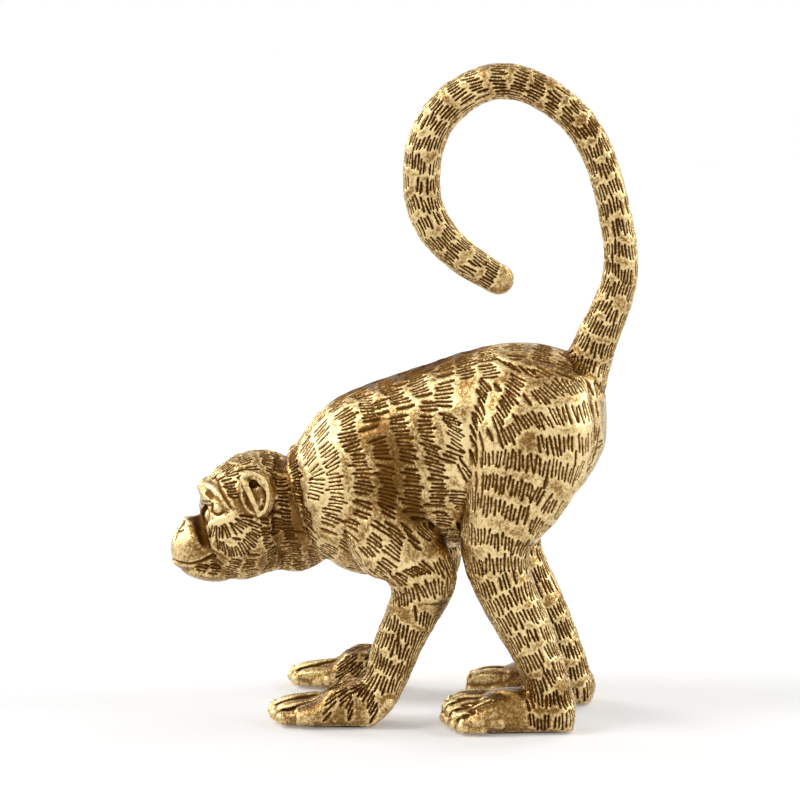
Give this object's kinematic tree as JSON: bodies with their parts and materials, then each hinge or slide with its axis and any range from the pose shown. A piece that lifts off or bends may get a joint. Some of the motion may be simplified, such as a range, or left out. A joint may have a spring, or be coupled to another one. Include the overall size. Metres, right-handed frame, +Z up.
{
  "type": "monkey figurine",
  "caption": "Gilt cast monkey figurine walking on flat hands and feet, head low and turned aside, fur cut in short strokes, long tail curled high over its back.",
  "frame": {"origin": "centre of the figure's footprint box, on the surface it stands on", "axes": "+Z up, +X towards the tail end, the monkey faces -X and its left side is -Y"},
  "size_m": [0.2004, 0.087, 0.2793],
  "materials": {
    "gilt_resin": "cast resin under antique gold leaf, satin, with dark brown patina in the cut fur",
    "pin_steel": "plain steel pins and wire, hidden inside the castings",
    "felt": "dark brown pressed felt"
  },
  "bodies": {
    "root": {"torso": "gilt_resin", "head": "gilt_resin", "tail": "gilt_resin", "left_arm": "gilt_resin", "right_arm": "gilt_resin", "left_leg": "gilt_resin", "right_leg": "gilt_resin", "neck_pin": "pin_steel", "tail_wire": "pin_steel", "left_arm_pin": "pin_steel", "right_arm_pin": "pin_steel", "left_leg_pin": "pin_steel", "right_leg_pin": "pin_steel", "left_hand_pad": "felt", "right_hand_pad": "felt", "left_foot_pad": "felt", "right_foot_pad": "felt"}
  },
  "joints": []
}
